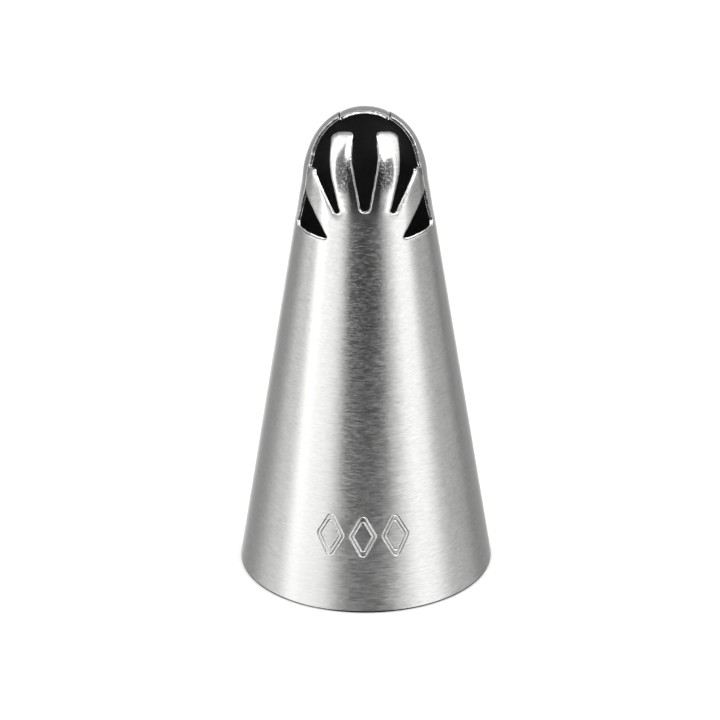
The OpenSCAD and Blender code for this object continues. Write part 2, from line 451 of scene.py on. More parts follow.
# A face's material, by its place in the piece's list
OUTSIDE, INSIDE, EDGE, SHADE_BAND_EDGE = range(4)


def linked(name, data):
    """A new object in the scene."""
    made = bpy.data.objects.new(name, data)
    bpy.context.scene.collection.objects.link(made)
    return made


def mesh_piece(name, points, faces, normals, kinds, materials):
    """A mesh from corner (vertex, normal) pairs. kinds gives each face's material."""
    mesh = bpy.data.meshes.new(name)
    mesh.from_pydata([tuple(p) for p in np.asarray(points) * MM], [], [[v for v, _ in f] for f in faces])
    for material in materials:
        mesh.materials.append(material)
    mesh.polygons.foreach_set("material_index", kinds)
    mesh.polygons.foreach_set("use_smooth", [True] * len(faces))
    table = unit(np.asarray(normals))
    mesh.normals_split_custom_set([tuple(table[n]) for f in faces for _, n in f])
    mesh.update()
    return linked(name, mesh)


def triangles(flat, loops, keep):
    """Triangles over flat points that keep the loops' edges. keep picks them by their middles."""
    edges = [(loop[i], loop[(i + 1) % len(loop)]) for loop in loops for i in range(len(loop))]
    _, _, tris, origin, _, _ = delaunay_2d_cdt([Vector(p) for p in flat], edges, [], 0, 1e-7)
    first = [o[0] if o else -1 for o in origin]
    tris = np.array([[first[v] for v in t] for t in tris])
    tris = tris[(tris >= 0).all(1)]
    a, b, c = flat[tris[:, 0]], flat[tris[:, 1]], flat[tris[:, 2]]
    turn = (b[:, 0] - a[:, 0]) * (c[:, 1] - a[:, 1]) - (b[:, 1] - a[:, 1]) * (c[:, 0] - a[:, 0])
    tris = np.where(turn[:, None] < 0, tris[:, ::-1], tris)
    return tris[keep((a + b + c) / 3)]


def beside(p):
    """Run, azimuth, place, normal and direction into the steel, along an opening's edge."""
    run, az = place(p)
    p, n = skin(run, az)
    return run, az, p, n, unit(np.cross(heading(p), n))


class Points:
    """Points near the outside face, gathered in batches: run, azimuth, depth and normal."""

    def __init__(self):
        self.batches = []
        self.count = 0

    def add(self, *batch):
        """Add a batch and give the indices of its points."""
        self.batches.append(batch)
        first, self.count = self.count, self.count + len(batch[0])
        return list(range(first, self.count))

    def joined(self):
        return [np.concatenate(column) for column in zip(*self.batches)]


def both(*corners):
    """A face whose corners' normals have the same indices as its points."""
    return tuple((v, v) for v in corners)


def facing(normal, *corners):
    """A face whose corners share one normal."""
    return tuple((v, normal) for v in corners)


def outline_shift(p, n, into, finish, sunk):
    """How far to shift an outline into the steel, so that the finished edge is where it was measured.

    That is at the cut's far edge where the cut was seen, and at the roll elsewhere."""
    most_out, most_in, steepest = -0.15, 0.3, 0.2
    slope = (into @ SEEN_FROM) / np.maximum(n @ SEEN_FROM, steepest)
    shift = np.where(slope < 0, finish[:, SLANT] - (SHEET + finish[:, BROAD_D]) * slope, -sunk * slope)
    return np.clip(shift, most_out, most_in) * smooth(0.03, 0.4, np.abs(p[:, 1] - arch_y(p[:, 2])))


def add_edges(points):
    """Add the crown's edges. Gives their places, directions into the steel, finishes and loops."""
    rims, intos, finishes, loops = [], [], [], []
    for k, line in enumerate(crown_edges()):
        p, _ = skin(*flat_to_skin(line))
        finish = finish_of(p)
        as_cut = finish[:, AS_CUT] > 0
        finish = np.stack([eased(finish[:, i]) for i in range(AS_CUT)], -1)
        _, _, p, _, into = beside(p)
        p = p + (ripple(len(p), RIPPLE_SEED + k) * finish[:, WAVES])[:, None] * into
        _, _, p, n, into = beside(p)
        sunk = roll_shape(np.zeros(len(p)), *finish[:, ROLL].T)[0]
        shift = np.where(as_cut, 0, outline_shift(p, n, into, finish, sunk))
        run, az, p, _, into = beside(p + eased(shift)[:, None] * into)
        loops.append(points.add(run, az, sunk, -into))
        rims.append(p)
        intos.append(into)
        finishes.append(finish)
    return np.concatenate(rims), np.concatenate(intos), np.concatenate(finishes), loops


def add_rolls(points, rim, into, finish):
    """Add rows of points beside the edges, where the rolls bend."""
    for share in ROLL_ROWS:
        d = share * finish[:, 0]
        run, az = place(rim + d[:, None] * into)
        q, n = skin(run, az)
        _, gap = nearest(q, rim)
        ok = (gap > 0.9 * d) & (d > 0.008) & (run < run_at(WELD_TOP_Z) - 0.04)
        depth, fall = roll_shape(d, *finish[:, ROLL].T)
        points.add(run[ok], az[ok], depth[ok], (n - fall[:, None] * into)[ok])


def add_open_skin(points, rim, into, finish):
    """Add even points on the steel between the edges."""
    runs, azs = [], []
    for i, run in enumerate(np.arange(0, RUN_END - 0.35, SKIN_STEP)):
        around = max(1, round(2 * math.pi * float(meridian(run)[0]) / SKIN_STEP))
        runs.append(np.full(around, run))
        azs.append((np.arange(around) + 0.5 * (i % 2)) * 2 * math.pi / around)
    run, az = np.concatenate(runs), np.concatenate(azs)
    p, n = skin(run, az)
    near, gap = nearest(p, rim)
    away = p - rim[near]
    ok = (gap > finish[near, 0] + 0.08) & (np.sum(away * into[near], 1) > 0)
    run, az, n, near, gap, away = (v[ok] for v in (run, az, n, near, gap, away))
    depth, fall = roll_shape(gap, *finish[near, ROLL].T)
    away = unit(away - np.sum(away * n, 1, keepdims=True) * n)
    points.add(run, az, depth, n - fall[:, None] * away)


def pressed(p):
    """How deep the arch lies: its strip is sunk, its sides stand out and its feet are pressed in."""
    x, y, z = np.abs(p[:, 0]), p[:, 1], p[:, 2]
    az = np.degrees(np.abs(np.arctan2(p[:, 0], -p[:, 1])))
    sunk = STRIP_SUNK * smooth(0.9, 1.75, x) * (x < ARCH_SEAM_X) * smooth(1.4, 0.0, y) * (y > -1.2) * (z > 33)
    sunk -= (SIDES_OUT * (x > ARCH_SEAM_X) * smooth(1.4, 0.2, y) * (y > arch_y(z) - 0.15)
             * smooth(29.8, 31.4, z))
    sunk += (FEET_SUNK * smooth(26.9, 27.3, z) * smooth(29.4, 27.6, z) * smooth(70, 78, az)
             * smooth(125, 96, az))
    return sunk


def make_crown(outside, inside, edge, shade_band_material):
    points = Points()
    rim, into, finish, loops = add_edges(points)
    add_rolls(points, rim, into, finish)
    add_open_skin(points, rim, into, finish)
    # The ring that meets the weld
    ring_az = np.concatenate(columns(cone_r(WELD_TOP_Z, 0)))
    ring_run = np.full(len(ring_az), run_at(WELD_TOP_Z))
    ring = points.add(ring_run, ring_az, np.zeros(len(ring_az)), skin(ring_run, ring_az)[1])

    run, az, depth, normal = points.joined()
    flat = even_map(run, az)
    holes = [flat[loop] for loop in loops]

    def steel(middles):
        return ~np.any([within(middles[:, 0], middles[:, 1], hole) > 0 for hole in holes], axis=0)

    tris = triangles(flat, loops + [ring], steel)
    p, n = skin(run, az)
    near, gap = nearest(p, rim)
    sunk = pressed(p)
    thick = SHEET + finish[near, THICKER] * smooth(0.5, 0.05, gap)
    thick += finish[near, BROAD_D] * np.clip(1 - gap / finish[near, BROAD_W], 0, 1) ** 2
    outer = skin(run, az, depth + sunk)[0]
    inner = skin(run, az, thick + sunk)[0]
    inner += ((BEVEL - finish[near, SLANT]) * smooth(0.6, 0, gap))[:, None] * into[near]
    inner[ring] = turned(cone_r(JOINT_Z, SHEET), ring_az, JOINT_Z)
    root = turned(cone_r(JOINT_Z, SHEET - WELD_LAND), ring_az, JOINT_Z)
    # The cut edge has a flat in three bands between the roll outside and a small bevel inside
    count, rim_count = points.count, len(rim)
    rim_n, slant = n[:rim_count], finish[:, SLANT]
    full = thick[:rim_count] - BEVEL - depth[:rim_count]
    cut = unit(-into * full[:, None] + rim_n * slant[:, None])
    rows = [outer[:rim_count] - (share * full)[:, None] * rim_n - (share * slant)[:, None] * into
            for share in CUT_ROWS]
    root_first, row_first = 2 * count, 2 * count + len(ring)
    cut_first, bevel_first, down = (2 * count + i * rim_count for i in range(3))
    faces, kinds = [], []
    for a, b, c in tris:
        faces += [both(a, b, c), both(c + count, b + count, a + count)]
        kinds += [OUTSIDE, INSIDE]
    for loop in loops:
        for a, b in zip(loop, loop[1:] + loop[:1]):
            down_a, down_b = (
                [(v, v)] + [(row_first + i * rim_count + v, cut_first + v) for i in range(len(rows))]
                + [(v + count, bevel_first + v)] for v in (a, b))
            for i in range(len(rows) + 1):
                faces.append((down_a[i], down_b[i], down_b[i + 1], down_a[i + 1]))
            # The middle band of the arch's cut gets a near-black colour: painted shade
            kinds += [EDGE, SHADE_BAND_EDGE if finish[a, SHADE_BAND] > 0.5 else EDGE, EDGE, EDGE]
    for k, a in enumerate(ring):
        m = (k + 1) % len(ring)
        b, c, d = ring[m], root_first + k, root_first + m
        faces += [facing(down, b, a, c, d), facing(down, d, c, a + count, b + count)]
        kinds += [INSIDE, INSIDE]
    return mesh_piece("crown_skin", np.concatenate([outer, inner, root] + rows), faces,
                      np.concatenate([normal, -n, cut, 0.3 * cut - rim_n, [[0, 0, -1.0]]]), kinds,
                      [outside, inside, edge, shade_band_material])


# The generic mark: three outlined diamonds
MARK_Z = 5.66
MARK_X = (-2.56, -0.22, 2.12)
MARK_HALF_W = 0.98
MARK_HALF_H = 1.76
MARK_STROKE = 0.24
MARK_CORNER_R = (0.26, 0.17)
GROOVE_D = 0.042
GROOVE_W = 0.042
GROOVE_LIP = 0.32
GROOVE_ROWS = (-0.105, -0.075, -0.05, -0.028, 0, 0.028, 0.05, 0.075, 0.105)
MARK_R = float(cone_r(MARK_Z, 0))
# The patch of the skirt that is drawn finely for it: heights, azimuths, rows, and open points
PATCH_Z = (3.4, 7.8)
PATCH_AZ = (-28, 26)
PATCH_ROWS = 18
ROWS_ABOVE = 29
PATCH_STEP = 0.2
PATCH_GAP = 0.09


def groove_shape(d):
    """Depth at a distance from a groove's middle, and its slope: a soft V with low lips."""
    q = d / GROOVE_W
    bell = np.exp(-0.5 * q * q)
    depth = GROOVE_D * bell * (1 - GROOVE_LIP * q * q)
    slope = GROOVE_D * bell * (-q * (1 - GROOVE_LIP * q * q) - 2 * GROOVE_LIP * q) / GROOVE_W
    return depth, slope


def diamond(inset):
    """The outline of a diamond, pulled in by an inset, with soft corners."""
    lean = math.hypot(MARK_HALF_W, MARK_HALF_H)
    w = MARK_HALF_W - inset * lean / MARK_HALF_H
    h = MARK_HALF_H - inset * lean / MARK_HALF_W
    r = MARK_CORNER_R[inset > 0]
    line = rounded([(w, 0, r), (0, h, r), (-w, 0, r), (0, -h, r)])
    return respaced(line, lengths(line), MARK_STEP)


def mark_points():
    """Flat points of the mark's grooves, their depths and slopes, and the loops that join them."""
    flats, depths, slopes, loops = [], [], [], []
    count = 0
    for x in MARK_X:
        for inset in (0, MARK_STROKE):
            line = diamond(inset)
            along = heading(line)
            out = np.stack([along[:, 1], -along[:, 0]], -1)
            for d in GROOVE_ROWS:
                depth, slope = groove_shape(np.full(len(line), d))
                flats.append(line + d * out + np.array([x, 0]))
                depths.append(depth)
                slopes.append(slope[:, None] * out)
                loops.append(list(range(count, count + len(line))))
                count += len(line)
    return np.concatenate(flats), np.concatenate(depths), np.concatenate(slopes), loops


def stamped_patch(border):
    """The mark inside a border on the cone: new points, their normals, and triangles.

    Triangles count the border's points first, then the new ones."""
    run_mark = float(run_at(MARK_Z))
    run, az = place(border)
    border_flat = np.stack([az * MARK_R, run_mark - run], -1)
    marks, depth, slope, loops = mark_points()
    (low_u, low_v), (high_u, high_v) = border_flat.min(0) + 0.15, border_flat.max(0) - 0.1
    u, v = np.meshgrid(np.arange(low_u, high_u, PATCH_STEP), np.arange(low_v, high_v, PATCH_STEP))
    even = np.stack([u.ravel(), v.ravel()], -1)
    even = even[nearest(even, marks)[1] > PATCH_GAP]
    count = len(border)
    flat = np.concatenate([border_flat, marks, even])
    loops = [list(range(count))] + [[i + count for i in loop] for loop in loops]
    tris = triangles(flat, loops, lambda middles: within(middles[:, 0], middles[:, 1], border_flat) > 0)
    depth = np.concatenate([depth, np.zeros(len(even))])
    slope = np.concatenate([slope, np.zeros((len(even), 2))])
    new = flat[count:]
    az = new[:, 0] / MARK_R
    p, n = skin(run_mark - new[:, 1], az, depth)
    east = np.stack([np.cos(az), np.sin(az), 0 * az], -1)
    north = np.cross(n, east)
    return p, n + slope[:, :1] * east + slope[:, 1:] * north, tris


def rim_arc(radius, depth, turns):
    """Rows of the skirt's profile round one corner of the wide rim, with their normals."""
    c = np.array([cone_r(radius, depth), radius])
    outs = [np.array([math.cos(t), math.sin(t)]) for t in turns]
    return [(c + radius * out, out) for out in outs]


def skirt_profile():
    """The sheet's profile down the outside, round the rim and up the inside.

    Gives its points and normals, and how many rows reach the outside's and the rim's end."""
    low, high = PATCH_Z
    heights = np.concatenate([
        np.linspace(WELD_LOW_Z, high, ROWS_ABOVE + 1), np.linspace(high, low, PATCH_ROWS + 1)[1:],
        np.linspace(low, OUTER_ROUND * (1 + math.sin(HALF_ANGLE)), 8)[1:]])
    rows = [((cone_r(z, 0), z), CONE_OUT) for z in heights]
    outer_rows = len(rows)
    rows += rim_arc(OUTER_ROUND, OUTER_ROUND, np.linspace(HALF_ANGLE, -math.pi / 2, 9)[1:])
    rim_rows = len(rows)
    rows += rim_arc(INNER_ROUND, SHEET - INNER_ROUND, np.linspace(-math.pi / 2, HALF_ANGLE - math.pi, 6))
    rows += [((cone_r(z, SHEET), z), -CONE_OUT) for z in np.linspace(0.4, JOINT_Z, 24)]
    rows.append(((cone_r(JOINT_Z, SHEET - WELD_LAND), JOINT_Z), (0, 1.0)))
    profile, normal = (np.array(column) for column in zip(*rows))
    return profile, normal, outer_rows, rim_rows


def make_skirt(outside, inside, rim):
    profile, normal, outer_rows, rim_rows = skirt_profile()
    azs = np.stack([columns(r)[0] for r in profile[:, 0]])
    points = turned(profile[:, :1], azs, profile[:, 1:]).reshape(-1, 3)
    normals = turned(normal[:, :1], azs, normal[:, 1:]).reshape(-1, 3)
    row_count, col_count = azs.shape
    grid = np.arange(azs.size).reshape(azs.shape).tolist()
    up, side_left, side_right, patch_normals = range(azs.size, azs.size + 4)
    top, bottom = ROWS_ABOVE, ROWS_ABOVE + PATCH_ROWS
    left, right = (int(np.argmin(np.abs(azs[top] - math.radians(az)))) for az in PATCH_AZ)
    faces, kinds = [], []
    for i in range(row_count):
        k = (i + 1) % row_count
        kind = OUTSIDE if i < outer_rows - 1 else EDGE if i < rim_rows - 1 else INSIDE
        for j in range(col_count - 1):
            if top <= i < bottom and left <= j < right:
                continue
            corners = (grid[i][j], grid[k][j], grid[k][j + 1], grid[i][j + 1])
            faces.append(facing(up, *corners) if i >= row_count - 2 else both(*corners))
            kinds.append(kind)
    faces.append(facing(side_left, *[row[0] for row in reversed(grid)]))
    faces.append(facing(side_right, *[row[-1] for row in grid]))
    kinds += [INSIDE, INSIDE]
    # The stamped patch
    border = [grid[top][j] for j in range(left, right)] + [grid[i][right] for i in range(top, bottom)]
    border += [grid[bottom][j] for j in range(right, left, -1)]
    border += [grid[i][left] for i in range(bottom, top, -1)]
    new_points, new_normals, tris = stamped_patch(points[border])
    corners = [(v, v) for v in border]
    corners += [(azs.size + i, patch_normals + i) for i in range(len(new_points))]
    faces += [tuple(corners[i] for i in t) for t in tris]
    kinds += [OUTSIDE] * len(tris)
    table = np.concatenate([normals, [[0, 0, 1.0], [1.0, 0, 0], [-1.0, 0, 0]], new_normals])
    return mesh_piece("skirt_sheet", np.concatenate([points, new_points]), faces, table, kinds,
                      [outside, inside, rim])


def make_ring_weld(outside, inside):
    profile = np.array([(cone_r(WELD_TOP_Z, 0), WELD_TOP_Z), (cone_r(JOINT_Z, 0), JOINT_Z),
                        (cone_r(WELD_LOW_Z, 0), WELD_LOW_Z), (cone_r(JOINT_Z, SHEET - WELD_LAND), JOINT_Z)])
    azs = np.stack([np.concatenate(columns(r)) for r in profile[:, 0]])
    points = turned(profile[:, :1], azs, profile[:, 1:]).reshape(-1, 3)
    normals = turned(CONE_OUT[0], azs[0], CONE_OUT[1])
    row_count, count = azs.shape
    outer_rows = 2
    faces, kinds = [], []
    for i in range(row_count):
        k = (i + 1) % row_count
        for j in range(count):
            m = (j + 1) % count
            corners = (i * count + j, k * count + j, k * count + m, i * count + m)
            if i < outer_rows:
                faces.append(tuple((v, v % count) for v in corners))
            else:
                faces.append(facing(count + i - outer_rows, *corners))
            kinds.append(OUTSIDE if i < outer_rows else INSIDE)
    table = np.concatenate([normals, [[0, 0, -1.0], [0, 0, 1.0]]])
    return mesh_piece("ring_weld_bead", points, faces, table, kinds, [outside, inside])


def seam_ripple(t, z, phase):
    """Depth of the seam weld's ripples at a place across and up the strip, and its slope upwards."""
    turn = 2 * math.pi * (z / SEAM_PITCH + 0.12 * t * t) + phase
    crown = SEAM_RIPPLE * (1 - t * t)
    return crown * (0.5 + 0.5 * math.sin(turn)), crown * math.cos(turn) * math.pi / SEAM_PITCH


def make_seam_weld(outside, inside):
    rows = np.concatenate([[0.0, 0.035], np.linspace(0.12, WELD_LOW_Z, 150)])
    inner_rows = np.array([0.0, 8.0, 16.0, JOINT_Z])
    across = np.linspace(-1, 1, SEAM_COLUMNS)
    phase = np.random.default_rng(3).uniform(0, 6.28)
    points, normals = [], []

    # t runs from -1 to 1 as x falls, so seen from behind the strip runs left to right
    def add(t, z, depth, normal):
        x, r = -t * SEAM_WELD_W / 2, cone_r(z, depth)
        points.append((x, math.sqrt(r * r - x * x), z))
        normals.append(normal(x, r))

    for z in rows:
        for t in across:
            dip, slope = seam_ripple(t, z, phase)
            dip += 0.003 + 0.03 * (abs(t) > 0.9)
            if z > rows[-1] - 0.01:
                dip = 0
            if z == 0:
                dip = 0.05
            add(t, z, dip, lambda x, r: (x / r, math.sqrt(1 - (x / r) ** 2), math.tan(HALF_ANGLE) + slope))
    first = len(points)
    for z in inner_rows:
        for t in across:
            add(t, z, SHEET, lambda x, r: (-x / r, -1, -math.tan(HALF_ANGLE)))
    root = len(points)
    for t in across:
        add(t, JOINT_Z, SHEET - WELD_LAND, lambda x, r: (0, 0, 1.0))
    down, up, right, left = range(len(normals), len(normals) + 4)
    normals += [(0, 0, -1.0), (0, 0, 1.0), (1.0, 0, 0), (-1.0, 0, 0)]
    n = len(across)
    faces, kinds = [], []
    for start, count, kind, steps in ((0, len(rows), OUTSIDE, (0, 1, n + 1, n)),
                                      (first, len(inner_rows), INSIDE, (0, n, n + 1, 1))):
        for i in range(count - 1):
            for j in range(n - 1):
                faces.append(both(*(start + i * n + j + step for step in steps)))
                kinds.append(kind)
    last, inner_last = first - n, root - n
    for j in range(n - 1):
        faces += [facing(down, j, first + j, first + j + 1, j + 1),
                  facing(up, last + j, last + j + 1, root + j + 1, root + j),
                  facing(up, root + j, root + j + 1, inner_last + j + 1, inner_last + j)]
        kinds += [INSIDE] * 3
    for j, side in ((0, right), (n - 1, left)):
        loop = [i * n + j for i in range(len(rows))] + [root + j]
        loop += [first + i * n + j for i in range(len(inner_rows) - 1, -1, -1)]
        faces.append(facing(side, *(loop if j == 0 else loop[::-1])))
        kinds.append(INSIDE)
    return mesh_piece("seam_weld_bead", points, faces, normals, kinds, [outside, inside])


# Materials
class Nodes:
    """Short ways to add nodes to a tree."""

    def __init__(self, tree):
        self.tree = tree
        tree.nodes.clear()

    def add(self, kind, **settings):
        node = self.tree.nodes.new(kind)
        for key, value in settings.items():
            setattr(node, key, value)
        return node

    def feed(self, socket, value):
        if hasattr(value, "is_linked"):
            self.tree.links.new(value, socket)
        else:
            socket.default_value = value

    def math(self, operation, a, b=0.0):
        node = self.add("ShaderNodeMath", operation=operation)
        self.feed(node.inputs[0], a)
        self.feed(node.inputs[1], b)
        return node.outputs[0]

    def times(self, a, b):
        return self.math("MULTIPLY", a, b)

    def vector(self, operation, a, b=(0, 0, 0)):
        node = self.add("ShaderNodeVectorMath", operation=operation)
        self.feed(node.inputs[0], a)
        self.feed(node.inputs[1], b)
        return node.outputs["Value" if operation in ("DOT_PRODUCT", "LENGTH") else "Vector"]

    def split(self, vector):
        node = self.add("ShaderNodeSeparateXYZ")
        self.feed(node.inputs[0], vector)
        return node.outputs

    def join(self, x, y, z):
        node = self.add("ShaderNodeCombineXYZ")
        for socket, value in zip(node.inputs, (x, y, z)):
            self.feed(socket, value)
        return node.outputs[0]

    def step(self, value, lo, hi, out_lo=0.0, out_hi=1.0, soft=True):
        node = self.add("ShaderNodeMapRange", interpolation_type="SMOOTHSTEP" if soft else "LINEAR")
        for socket, v in zip(node.inputs, (value, lo, hi, out_lo, out_hi)):
            self.feed(socket, v)
        return node.outputs[0]

    def spread(self, value, lo, hi, span=(0.3, 0.7)):
        """From lo to hi in a straight line, while a value goes over a span."""
        return self.step(value, *span, lo, hi, soft=False)

    def noise(self, vector, scale, detail=2.0, rough=0.5):
        node = self.add("ShaderNodeTexNoise")
        self.feed(node.inputs["Vector"], vector)
        node.inputs["Scale"].default_value = scale
        node.inputs["Detail"].default_value = detail
        node.inputs["Roughness"].default_value = rough
        return node.outputs[0]

    def mix(self, share, a, b):
        node = self.add("ShaderNodeMix", data_type="FLOAT")
        for socket, value in zip(node.inputs[:1] + node.inputs[2:4], (share, a, b)):
            self.feed(socket, value)
        return node.outputs[0]

    def colour(self, share, a, b):
        node = self.add("ShaderNodeMix", data_type="RGBA")
        self.feed(node.inputs[0], share)
        for socket, value in zip(node.inputs[6:8], (a, b)):
            self.feed(socket, (*value, 1) if isinstance(value, tuple) else value)
        return node.outputs[2]

    def bump(self, height, distance):
        node = self.add("ShaderNodeBump")
        node.inputs["Strength"].default_value = 1.0
        node.inputs["Distance"].default_value = distance
        self.feed(node.inputs["Height"], height)
        return node.outputs[0]


def material(name):
    made = bpy.data.materials.new(name)
    made.use_nodes = True
    nodes = Nodes(made.node_tree)
    shader = nodes.add("ShaderNodeBsdfPrincipled")
    out = nodes.add("ShaderNodeOutputMaterial")
    nodes.tree.links.new(shader.outputs[0], out.inputs[0])
    shader.inputs["Metallic"].default_value = 1
    place_mm = nodes.vector("MULTIPLY", nodes.add("ShaderNodeTexCoord").outputs["Object"], (1000, 1000, 1000))
    return made, nodes, shader, place_mm


def coat(nodes, shader, colour, rough, height=None):
    """Give a shader its colour, its roughness and a bump, with the height in millimetres."""
    nodes.feed(shader.inputs["Base Color"], colour)
    nodes.feed(shader.inputs["Roughness"], rough)
    if height is not None:
        nodes.feed(shader.inputs["Normal"], nodes.bump(height, MM))


# Streaks have their stated length at this radius
STREAK_R = 6.0
LEAST_R = 0.2


def brushed(nodes, place_mm, length, height, detail, rough):
    """A noise in streaks of a length and height that run round the axis."""
    x, y, z = nodes.split(place_mm)
    r = nodes.math("MAXIMUM", nodes.vector("LENGTH", nodes.join(x, y, 0.0)), LEAST_R)
    k = STREAK_R / length
    x, y = (nodes.times(nodes.math("DIVIDE", side, r), k) for side in (x, y))
    around = nodes.join(x, y, nodes.math("DIVIDE", z, height))
    return nodes.noise(around, 1.0, detail, rough)


# Colours, each from the darker to the lighter
STEEL = ((0.52, 0.52, 0.51), (0.66, 0.66, 0.655))
WELD_STEEL = ((0.40, 0.385, 0.36), (0.58, 0.565, 0.54))
# Partly painted shade: the dark end of the prongs' pitted middles, whose speckled grain is the steel's own
PITTED_SHADE_STEEL = (0.21, 0.21, 0.207)
MOUTH_STEEL = ((0.40, 0.40, 0.402), (0.54, 0.54, 0.535))
# Painted shade: the dark colour of the inside behind the openings
SHADED_INSIDE_STEEL = ((0.12, 0.12, 0.122), (0.20, 0.20, 0.198))
CUT_STEEL = ((0.78, 0.78, 0.77), (0.95, 0.95, 0.94))
# Painted shade: the near-black middle band of the arch's cut
SHADE_BAND_STEEL = ((0.06, 0.06, 0.06), (0.22, 0.22, 0.218))
# Painted shadow: the rim's dark colour stands for the shadow under the foot
SHADOWED_RIM_STEEL = ((0.15, 0.15, 0.148), (0.24, 0.24, 0.237))
PAPER = ((0.86, 0.86, 0.86), (0.88, 0.88, 0.88))
# Where the middle of each prong is left pitted by its bending and darkened as painted shade, with the soft
# span of each limit
PITS_AND_SHADE_Z = ((30.2, 31.3), (32.2, 33.2))
PITS_AND_SHADE_X = ((0.7, 1.1), (1.6, 2.1))
PITS_AND_SHADE_Y = (-1.5, -0.5)
# The least roughness of the brushed cone, and its roughness at the foot and under the crown
CONE_LEAST_ROUGH = 0.285
CONE_ROUGH = (0.425, 0.315)
CONE_BUMP = 0.0006
PITTED_BUMP = 0.008


def outside_steel(name, tones):
    made, nodes, shader, place_mm = material(name)
    fine = nodes.mix(0.4, brushed(nodes, place_mm, 0.34, 0.074, 1, 0.5),
                     brushed(nodes, place_mm, 1.0, 0.078, 1, 0.5))
    broad = brushed(nodes, place_mm, 2.2, 0.5, 3, 0.55)
    grain = nodes.noise(place_mm, 8.0, 3, 0.6)
    x, y, z = nodes.split(place_mm)
    sideways = nodes.math("ABSOLUTE", x)
    # The prongs' pitted middles: real grain and bump, and a darker colour that is painted shade
    pits_and_shade = nodes.step(z, *PITS_AND_SHADE_Z[0])
    for value, span, ends in ((z, PITS_AND_SHADE_Z[1], (1, 0)), (sideways, PITS_AND_SHADE_X[0], (0, 1)),
                              (sideways, PITS_AND_SHADE_X[1], (1, 0)), (y, PITS_AND_SHADE_Y, (1, 0))):
        pits_and_shade = nodes.times(pits_and_shade, nodes.step(value, *span, *ends))
    surface = nodes.mix(pits_and_shade, fine, grain)
    plain = nodes.colour(nodes.spread(surface, 0, 1, (0.34, 0.66)), *tones)
    # Painted shade: the pitted middles take a darker colour
    pitted_and_shaded = nodes.colour(nodes.spread(grain, 0, 1, (0.40, 0.60)), PITTED_SHADE_STEEL, tones[1])
    # The cone is coarser at its foot and more polished towards the crown
    uneven = nodes.math("ADD", nodes.spread(fine, -0.042, 0.062, (0.38, 0.62)),
                        nodes.spread(broad, -0.008, 0.008))
    uneven = nodes.times(uneven, nodes.step(z, 18.0, 26.0, 1, 1.3))
    uneven = nodes.times(uneven, nodes.step(z, 28.0, 29.0, 1, 0))
    coarse = nodes.math("ADD", nodes.spread(z, *CONE_ROUGH, (0.0, 26.0)), uneven)
    coarse = nodes.math("MAXIMUM", coarse, CONE_LEAST_ROUGH)
    polished = nodes.mix(pits_and_shade, nodes.spread(fine, 0.15, 0.20, (0.34, 0.66)), nodes.spread(grain, 0.10, 0.28))
    rough = nodes.mix(nodes.step(z, 28.0, 31.5), coarse, polished)
    height = nodes.times(surface, nodes.mix(pits_and_shade, CONE_BUMP, PITTED_BUMP))
    coat(nodes, shader, nodes.colour(pits_and_shade, plain, pitted_and_shaded), rough, height)
    shader.inputs["Anisotropic"].default_value = 0.85
    shader.inputs["Anisotropic Rotation"].default_value = 0.25
    tangent = nodes.add("ShaderNodeTangent", direction_type="RADIAL", axis="Z")
    nodes.feed(shader.inputs["Tangent"], tangent.outputs[0])
    return made


def inside_steel():
    made, nodes, shader, place_mm = material("steel_inside")
    tone = brushed(nodes, place_mm, 2.0, 0.3, 4, 0.6)
    # Steel's own colour at the mouth, and painted shade behind the openings, where the inside turns dark
    behind = nodes.step(nodes.split(place_mm)[2], 6.0, 20.0)
    colour = nodes.colour(behind, nodes.colour(tone, *MOUTH_STEEL), nodes.colour(tone, *SHADED_INSIDE_STEEL))
    coat(nodes, shader, colour, nodes.spread(tone, 0.48, 0.6), nodes.times(tone, 0.003))
    return made


def cut_edge():
    made, nodes, shader, place_mm = material("steel_cut_edge")
    tone = nodes.noise(place_mm, 2.5, 2, 0.5)
    coat(nodes, shader, nodes.colour(nodes.step(tone, 0.3, 0.6), *CUT_STEEL), nodes.spread(tone, 0.28, 0.22),
         nodes.times(tone, 0.003))
    return made


# Painted shade: a near-black colour for the middle band of the arch's cut
def painted_shade_band():
    made, nodes, shader, place_mm = material("steel_shade_band_edge")
    tone = nodes.noise(place_mm, 4.0, 3, 0.6)
    coat(nodes, shader, nodes.colour(tone, *SHADE_BAND_STEEL), nodes.spread(tone, 0.4, 0.55),
         nodes.times(tone, 0.004))
    return made


def rolled_rim():
    made, nodes, shader, place_mm = material("steel_rim")
    tone = brushed(nodes, place_mm, 0.8, 0.05, 3, 0.6)
    # The dark colour is painted shadow: the dark line where the foot meets the floor
    coat(nodes, shader, nodes.colour(tone, *SHADOWED_RIM_STEEL), nodes.spread(tone, 0.16, 0.24))
    return made


def floor_paper():
    made, nodes, shader, place_mm = material("floor_paper")
    tone = nodes.noise(place_mm, 0.8, 4, 0.6)
    coat(nodes, shader, nodes.colour(tone, *PAPER), nodes.spread(tone, 0.85, 0.95))
    shader.inputs["Metallic"].default_value = 0
    shader.inputs["Specular IOR Level"].default_value = 0.0
    return made


# Studio light, as soft panels round the object: azimuth, half width and softness, lowest and highest
# elevation and their softness, all in degrees, and strength. The dark ones take light away.
FILL = 0.43
PANELS = (
    (-54, 21, 15, -44, 70, 5, 3.85),
    (55, 13, 22, -40, 77, 5, 2.95),
    (18, 61, 8, 27, 70, 6, 3.7),
    (-178, 20, 10, -31, -5, 6, 1.6),
    (-96, 12, 12, -6, 62, 20, 1.7),
    (100, 20, 5, 5, 72, 20, 1.15))
DARK = (
    (-1, 26, 4, -48, 43, 9, 0.91),
    (-29, 39, 7, -15, 58, 4, 0.92),
    (37, 27, 4, -7, 31, 4, 0.92),
    (123, 6, 5, -50, 37, 12, 0.5))
